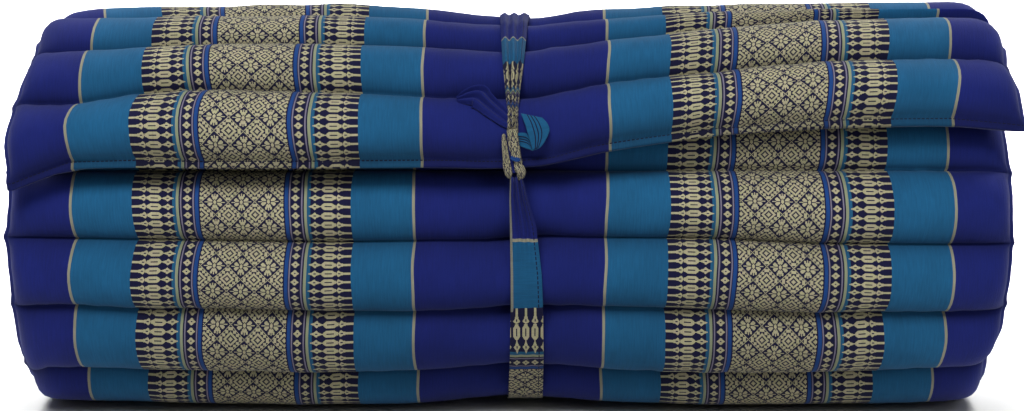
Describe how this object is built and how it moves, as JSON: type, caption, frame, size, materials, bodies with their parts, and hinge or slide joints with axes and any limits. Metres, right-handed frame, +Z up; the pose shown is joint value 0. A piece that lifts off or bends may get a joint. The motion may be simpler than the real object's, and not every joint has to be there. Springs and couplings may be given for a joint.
{
  "type": "rolled floor mattress",
  "caption": "Channel-sewn kapok floor mattress, rolled up on its side and tied round the middle with a strip of its own patterned cloth, knotted at the front.",
  "frame": {"origin": "centre of the part's base, on the surface it lies on", "axes": "+X along the roll to its right end, -Y to the front with the free end and the knot, +Z up"},
  "size_m": [0.795, 0.3382, 0.3318],
  "materials": {
    "mattress_cloth": "matt plain-weave cotton in dark blue and teal bands with woven cream patterns",
    "tie_cloth": "the same matt banded cotton"
  },
  "bodies": {
    "root": {"mattress": "mattress_cloth", "tie_band": "tie_cloth", "tie_knot": "tie_cloth", "tie_end_left": "tie_cloth", "tie_end_right": "tie_cloth"}
  },
  "joints": []
}
